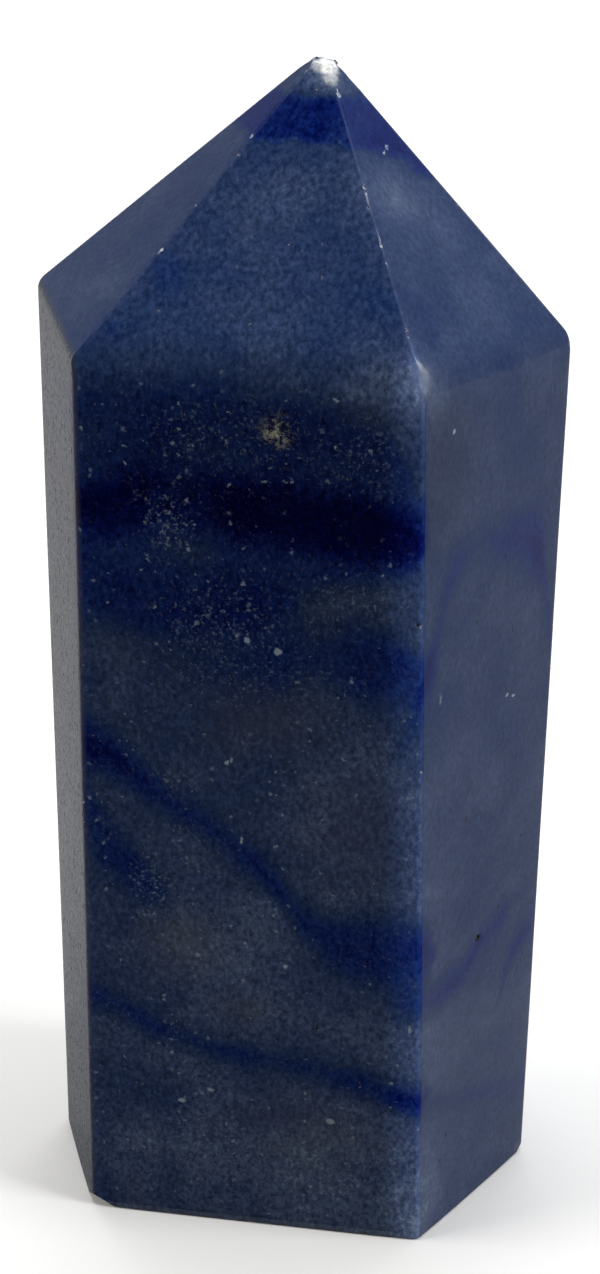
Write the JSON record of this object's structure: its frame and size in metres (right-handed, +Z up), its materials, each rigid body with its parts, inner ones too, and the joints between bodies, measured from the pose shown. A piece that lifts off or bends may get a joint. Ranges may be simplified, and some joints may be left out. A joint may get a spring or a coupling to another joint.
{
  "type": "dumortierite tower",
  "caption": "Free-standing polished dumortierite point: a flattened six-sided deep blue stone tower with a faceted tip and a flat sawn foot.",
  "frame": {"origin": "on the ground under the middle of the tower's bounding box", "axes": "+Z up through the point; the wide front face looks along -Y, and the tower's wide way runs along X"},
  "size_m": [0.0376, 0.0258, 0.0893],
  "materials": {
    "dumortierite_quartz": "satin polish, mottled deep blue with darker veins and pale specks, frosted white at the bruised tip"
  },
  "bodies": {
    "root": {"tower": "dumortierite_quartz"}
  },
  "joints": []
}
